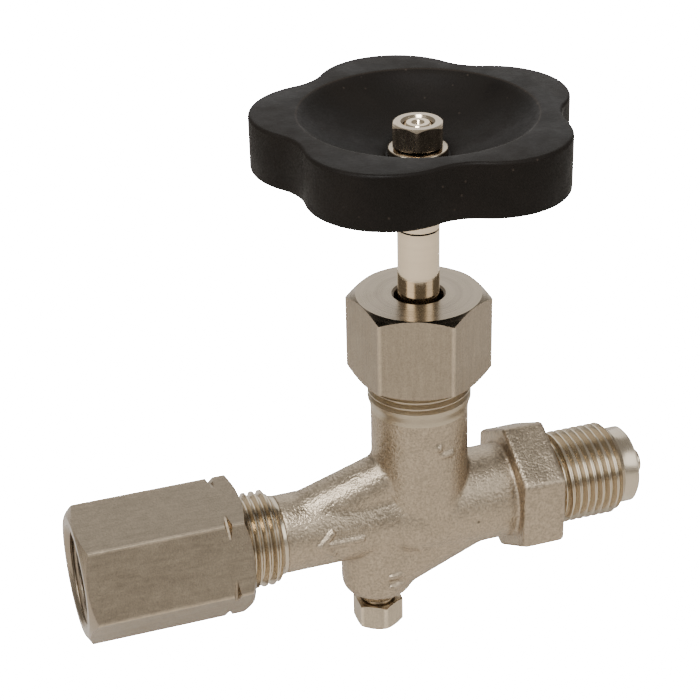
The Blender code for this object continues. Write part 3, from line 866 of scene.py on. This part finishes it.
def lathe_marks():
    """Rings that depend on the radius and the height; the radius is in metres."""
    group, given, result = new_group(
        "lathe marks", {"Place": None, "Rings": 2400.0}, ["Ring", "Wide", "Radius"])
    parts = add_node(group, "SeparateXYZ", {0: given["Place"]}).outputs
    flat = add_node(group, "CombineXYZ", {0: parts[0], 1: parts[1]}).outputs[0]
    radius = add_node(group, "VectorMath", {0: flat}, operation="LENGTH").outputs["Value"]
    section = add_node(group, "CombineXYZ", {0: radius, 1: parts[2]}).outputs[0]
    ring = noise(group, section, given["Rings"], 2.0, 0.6)
    wide = noise(group, section, 480.0, 2.0)
    group.links.new(ring, result.inputs["Ring"])
    group.links.new(wide, result.inputs["Wide"])
    group.links.new(radius, result.inputs["Radius"])
    return group


def milling_marks():
    """Streaks along the bar, a fine mottle across them, and a finer grain."""
    group, given, result = new_group(
        "milling marks", {"Place": None, "Streaks": 1500.0}, ["Streak", "Mottle", "Grain"])
    drawn = add_node(group, "VectorMath", {0: given["Place"], 1: (1.0, 1.0, 0.06)},
                     operation="MULTIPLY").outputs[0]
    streak = noise(group, drawn, given["Streaks"], 3.0, 0.65)
    squeezed = add_node(group, "VectorMath", {0: given["Place"], 1: (1.0, 1.0, 0.45)},
                        operation="MULTIPLY").outputs[0]
    mottle = noise(group, squeezed, 900.0, 3.0, 0.7)
    grain = noise(group, given["Place"], 2600.0, 2.0, 0.6)
    group.links.new(streak, result.inputs["Streak"])
    group.links.new(mottle, result.inputs["Mottle"])
    group.links.new(grain, result.inputs["Grain"])
    return group


def handling_marks():
    """Soft patches where hands and cloths have been, and specks of dust."""
    group, given, result = new_group(
        "handling marks", {"Place": None, "Size": 70.0}, ["Patch", "Speck"])
    patch = noise(group, given["Place"], given["Size"], 4.0, 0.6, distortion=0.6)
    speck = dots(group, given["Place"], 420.0, 1, 0.19, 0.05, 0.13)
    group.links.new(between(group, patch, 0.35, 0.65), result.inputs["Patch"])
    group.links.new(speck, result.inputs["Speck"])
    return group


MARKS = {maker.__name__: maker() for maker in (foundry_marks, lathe_marks, milling_marks,
                                               handling_marks)}
print("groups of marks:", ", ".join(MARKS))

# %% [markdown]
# ### The finishes themselves
# Each finish is one Principled shader. Steel is fully metallic with a slightly warm tint, and
# differs from piece to piece in how rough it is and in which marks it carries. A hexagon piece
# is turned at its ends and milled on its flats, so its finish asks the surface which way it
# faces: along the axis, it takes the rings, and across it, the streaks. A painted highlight
# lightens its long corners, where rounded edges catch the light; the radius tells where they
# are.


# %% Shader helpers
def start_finish(name, place, metallic=1.0):
    """A material with its shader, and coordinates turned so that the piece's axis is Z."""
    material = bpy.data.materials.new(name)
    material.use_nodes = True
    tree = material.node_tree
    shader = tree.nodes["Principled BSDF"]
    shader.inputs["Metallic"].default_value = metallic
    where = add_node(tree, "TexCoord")
    home = place.inverted()
    turned = add_node(tree, "Mapping", {"Vector": where.outputs["Object"],
                                        "Location": home.translation,
                                        "Rotation": home.to_euler()}).outputs[0]
    facing = add_node(tree, "Mapping", {"Vector": where.outputs["Normal"],
                                        "Rotation": home.to_euler()}, vector_type="NORMAL")
    return material, tree, shader, turned, facing.outputs[0]


def marks(tree, kind, place, **values):
    """Places one group of marks in a material."""
    node = tree.nodes.new("ShaderNodeGroup")
    node.node_tree = MARKS[kind]
    node.name = kind
    tree.links.new(place, node.inputs["Place"])
    for name, value in values.items():
        node.inputs[name].default_value = value
    return node.outputs


def tinted(tree, shader, tint, shade):
    """Feeds the shader a tint that the marks make lighter and darker."""
    colour = add_node(tree, "VectorMath", {0: tint, "Scale": shade}, operation="SCALE")
    tree.links.new(colour.outputs[0], shader.inputs["Base Color"])


def bumped(tree, shader, height, depth):
    """Feeds the shader a bump; the depth is in millimetres."""
    bump = add_node(tree, "Bump", {"Height": height, "Distance": depth * MM, "Strength": 1.0})
    tree.links.new(bump.outputs[0], shader.inputs["Normal"])


# %% Cast and turned steel
STEEL, CAST_TINT, MILLED_TINT = (0.52, 0.435, 0.33), (0.41, 0.337, 0.249), (0.32, 0.265, 0.197)


def cast_finish():
    """Blasted and pickled casting: dull, grainy, with a few pits."""
    material, tree, shader, where, _ = start_finish("cast_stainless", STANDING)
    skin = marks(tree, "foundry_marks", where)
    hands = marks(tree, "handling_marks", where, Size=55.0)
    tinted(tree, shader, CAST_TINT, skin["Shade"])
    rough = calculate(tree, "ADD", spread(tree, skin["Gloss"], 0.35, 0.45),
                      between(tree, hands["Patch"], 0, 1, -0.03, 0.03))
    tree.links.new(rough, shader.inputs["Roughness"])
    bumped(tree, shader, skin["Height"], 0.10)
    return material


def turned_finish(name, place, rough=0.16, depth=0.012, tint=STEEL):
    """Turned or ground steel: rings round the axis and nearly a mirror between them."""
    material, tree, shader, where, _ = start_finish(name, place)
    ring = marks(tree, "lathe_marks", where)
    hands = marks(tree, "handling_marks", where, Size=120.0)
    tinted(tree, shader, tint, spread(tree, ring["Wide"], 0.93, 1.05))
    roughness = calculate(tree, "ADD", spread(tree, ring["Ring"], rough * 0.8, rough),
                          between(tree, hands["Patch"], 0, 1, 0, rough * 0.5))
    tree.links.new(roughness, shader.inputs["Roughness"])
    bumped(tree, shader, ring["Ring"], depth)
    return material


# %% Milled steel
def milled_finish(name, place, reach, tint=MILLED_TINT, end_rough=0.2, flat_rough=0.34):
    """A hexagon piece: rings on its ends, streaks on its flats, a painted highlight on its
    corners.
    """
    material, tree, shader, where, facing = start_finish(name, place)
    ring = marks(tree, "lathe_marks", where)
    mill = marks(tree, "milling_marks", where)
    hands = marks(tree, "handling_marks", where, Size=90.0)
    upright = add_node(tree, "SeparateXYZ", {0: facing}).outputs[2]
    turned_end = between(tree, calculate(tree, "ABSOLUTE", upright), 0.2, 0.3)
    # Painted highlight: the colour is lightened in a thin band just inside the corner radius, as
    # the glint of rounded edges.
    worn = between(tree, ring["Radius"], (reach - 0.34) * MM, (reach - 0.14) * MM, 0.0, 0.5)
    streaks = calculate(tree, "ADD", spread(tree, mill["Streak"], -0.07, 0.07),
                        spread(tree, mill["Mottle"], 0.92, 1.06))
    streaks = calculate(tree, "MULTIPLY", calculate(tree, "ADD", streaks, worn),
                        spread(tree, mill["Grain"], 0.88, 1.12))
    shade = add_node(tree, "Mix", {0: turned_end, 2: streaks,
                                   3: spread(tree, ring["Wide"], 0.9, 1.1)})
    tinted(tree, shader, tint, shade.outputs[0])
    rough = add_node(tree, "Mix", {
        0: turned_end, 2: spread(tree, mill["Mottle"], flat_rough, flat_rough + 0.1),
        3: spread(tree, ring["Ring"], end_rough, end_rough + 0.08)})
    roughness = calculate(tree, "ADD", rough.outputs[0],
                          between(tree, hands["Patch"], 0, 1, -0.03, 0.05))
    tree.links.new(roughness, shader.inputs["Roughness"])
    grain = calculate(tree, "ADD", calculate(tree, "MULTIPLY", mill["Streak"], 0.5),
                      calculate(tree, "MULTIPLY", mill["Grain"], 1.2))
    height = add_node(tree, "Mix", {0: turned_end, 2: grain, 3: ring["Ring"]})
    bumped(tree, shader, height.outputs[0], 0.04)
    return material


# %% [markdown]
# ### Plastic, packing and copper
# The wheel is moulded in black glass-filled plastic: a satin black with a fine skin, a faint
# brown bloom, a painted highlight as a paler line round the edge of the dish, and dust specks
# that a cloth never quite takes off. The packing rings are white resin, and the seal in the
# sleeve is soft copper.


# %% Other finishes
def plastic_finish():
    """Black moulded plastic with a fine skin, dust, and a painted highlight round the dish's
    edge.
    """
    material, tree, shader, where, _ = start_finish("black_plastic", STANDING, 0.0)
    hands = marks(tree, "handling_marks", where, Size=45.0)
    skin = marks(tree, "foundry_marks", where, Grain=1400.0)
    radius = marks(tree, "lathe_marks", where)["Radius"]
    from_edge = calculate(tree, "ABSOLUTE", calculate(tree, "SUBTRACT", radius,
                                                      BOWL_EDGE * MM))
    # Painted highlight: a paler thin ring in the colour at the edge of the dish, where that edge
    # catches the light.
    dish_line = between(tree, from_edge, 0.05 * MM, 0.3 * MM, 1.5, 0.0)
    shade = calculate(tree, "ADD", between(tree, hands["Patch"], 0, 1, 0.75, 1.25),
                      calculate(tree, "MULTIPLY", hands["Speck"], 3.0))
    shade = calculate(tree, "ADD", shade, dish_line)
    shader.inputs["Specular IOR Level"].default_value = 0.11
    tinted(tree, shader, (0.0072, 0.0054, 0.0042), shade)
    rough = calculate(tree, "ADD", spread(tree, skin["Gloss"], 0.46, 0.58),
                      between(tree, hands["Patch"], 0, 1, -0.04, 0.06))
    tree.links.new(rough, shader.inputs["Roughness"])
    bumped(tree, shader, skin["Height"], 0.02)
    return material


def soft_finish(name, place, tint, metallic, rough):
    """Pressed packing or sheet copper, dulled in patches."""
    material, tree, shader, where, _ = start_finish(name, place, metallic)
    hands = marks(tree, "handling_marks", where, Size=200.0)
    ring = marks(tree, "lathe_marks", where)
    tinted(tree, shader, tint, between(tree, hands["Patch"], 0, 1, 0.85, 1.05))
    tree.links.new(between(tree, hands["Patch"], 0, 1, rough, rough + 0.15),
                   shader.inputs["Roughness"])
    bumped(tree, shader, ring["Ring"], 0.015)
    return material


# %% [markdown]
# ### Putting the finishes on
# A ground spindle is brighter than a thread, and a thread is brighter than a milled flat, so
# each piece gets its own tint and roughness. The solids of the frame that no piece stands for,
# deep inside the valve, get a plain turned or packing finish.


# %% Putting the finishes on
THREAD_TINT, GROUND_TINT = (0.55, 0.475, 0.365), (0.71, 0.595, 0.44)
NECK_TINT, VENT_TINT = (0.45, 0.385, 0.29), (0.46, 0.39, 0.295)
COPPER, PACKING_WHITE = (0.78, 0.42, 0.28), (0.72, 0.72, 0.69)
CORNER, SMALL_CORNER = WRENCH / sqrt(3), SMALL_WRENCH / sqrt(3)


def dress(piece, material):
    """Gives a piece that one material."""
    piece.data.materials.clear()
    piece.data.materials.append(material)


dress(cast_body, cast_finish())
dress(neck_thread, turned_finish("neck_turning", STANDING, 0.3, 0.006, NECK_TINT))
pipe_turning = turned_finish("pipe_turning", LYING, 0.2, 0.004, THREAD_TINT)
dress(inlet_spigot, pipe_turning)
dress(gauge_spigot, pipe_turning)
dress(bonnet_nut, milled_finish("bonnet_milling", STANDING, CORNER))
dress(spindle, turned_finish("spindle_grinding", STANDING, 0.1, 0.004, GROUND_TINT))
dress(hub_bush, turned_finish("bush_grinding", STANDING, 0.1, 0.004, GROUND_TINT))
dress(handwheel, plastic_finish())
dress(wheel_washer, turned_finish("washer_pressing", STANDING, 0.2, 0.015))
dress(wheel_nut, milled_finish("small_nut_milling", STANDING, SMALL_CORNER, STEEL, 0.12, 0.2))
dress(clamping_sleeve, milled_finish("sleeve_milling", LYING, CORNER))
dress(sleeve_gasket, soft_finish("gasket_copper", LYING, COPPER, 1.0, 0.3))
dress(vent_screw, milled_finish("vent_milling", AT_VENT, SMALL_CORNER, VENT_TINT, 0.2, 0.3))
dress(sealing_ball, turned_finish("ball_grinding", AT_VENT, 0.06, 0.002))
packing_white = soft_finish("packing_white", STANDING, PACKING_WHITE, 0.0, 0.45)
inner_turning = turned_finish("inner_turning", STANDING, 0.22, 0.02)
replaced = {node for _, _, _, node in CARRIED}
for name, node in frame["nodes"].items():
    if name.startswith("packing_ring"):
        dress(node, packing_white)
    elif name not in replaced:
        dress(node, inner_turning)
print(len(bpy.data.materials), "materials")

# %% [markdown]
# ## Studio
# Bright metal is lit by what surrounds it. A pale room and a pale floor give the soft grey of
# the casting, and four soft lamps draw the bright bands: a large one on the left, on the right
# and behind, and a smaller one high in front. The camera sees the floor and the room as plain
# white, which the Light Path node allows without adding any light to the work.

# %% Floor
FLOOR_DROP, FLOOR_SIZE, PALE_PAINT = 34 * MM, 6, (0.74, 0.70, 0.65)
WHITE_TO_CAMERA = 30.0

pick()
floor_height = cad_box[0].z - FLOOR_DROP
bpy.ops.mesh.primitive_plane_add(size=FLOOR_SIZE, location=(0, 0, floor_height))
floor = bpy.context.object
floor.name = "floor"
floor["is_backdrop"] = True
paper = bpy.data.materials.new("floor_white")
paper.use_nodes = True
paint = paper.node_tree.nodes["Principled BSDF"]
paint.inputs["Base Color"].default_value = (*PALE_PAINT, 1)
paint.inputs["Roughness"].default_value = 0.8
paint.inputs["Emission Color"].default_value = (1, 1, 1, 1)
floor_seen = add_node(paper.node_tree, "LightPath").outputs["Is Camera Ray"]
glow = calculate(paper.node_tree, "MULTIPLY", floor_seen, WHITE_TO_CAMERA)
paper.node_tree.links.new(glow, paint.inputs["Emission Strength"])
dress(floor, paper)
print("floor at", floor_height)

# %% Lamps
LAMPS = [
    ("left_lamp", (-1.05, -0.45, 0.75), 0.9, 9.0),
    ("right_lamp", (0.7, -0.85, 0.7), 0.8, 5.0),
    ("high_lamp", (-0.3, -0.4, 1.1), 0.42, 12.0),
    ("back_lamp", (0.33, 1.0, 0.6), 1.2, 5.0),
]
middle_of_work = (cad_box[0] + cad_box[1]) / 2
for name, place, size, power in LAMPS:
    pick()
    facing = (middle_of_work - Vector(place)).to_track_quat("-Z", "Y").to_euler()
    bpy.ops.object.light_add(type="AREA", location=place, rotation=facing)
    lamp = bpy.context.object
    lamp.name = name
    lamp.data.shape = "SQUARE"
    lamp.data.size = size
    lamp.data.energy = power
    print(name, "of", size, "m and", power, "W")

# %% Room
ROOM_LIGHT, ROOM_TINT = 0.36, (1.0, 0.97, 0.92)
world = bpy.data.worlds.new("pale room")
bpy.context.scene.world = world
world.use_nodes = True
room = world.node_tree.nodes["Background"]
room.inputs["Color"].default_value = (*ROOM_TINT, 1)
room_seen = add_node(world.node_tree, "LightPath").outputs["Is Camera Ray"]
strength = between(world.node_tree, room_seen, 0.0, 1.0, ROOM_LIGHT, WHITE_TO_CAMERA)
world.node_tree.links.new(strength, room.inputs["Strength"])
print("room gives", ROOM_LIGHT, "of its white")

# %% [markdown]
# ## Sizes at the end
# The visual model has to fill the same box as the frame, so both boxes are printed.

# %% Sizes and the end
boxes = {"cad": [list(corner) for corner in cad_box],
         "visual": [list(corner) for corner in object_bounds()]}
for name, (low, high) in boxes.items():
    print(name, "box in mm:", [round((b - a) / MM, 2) for a, b in zip(low, high)])
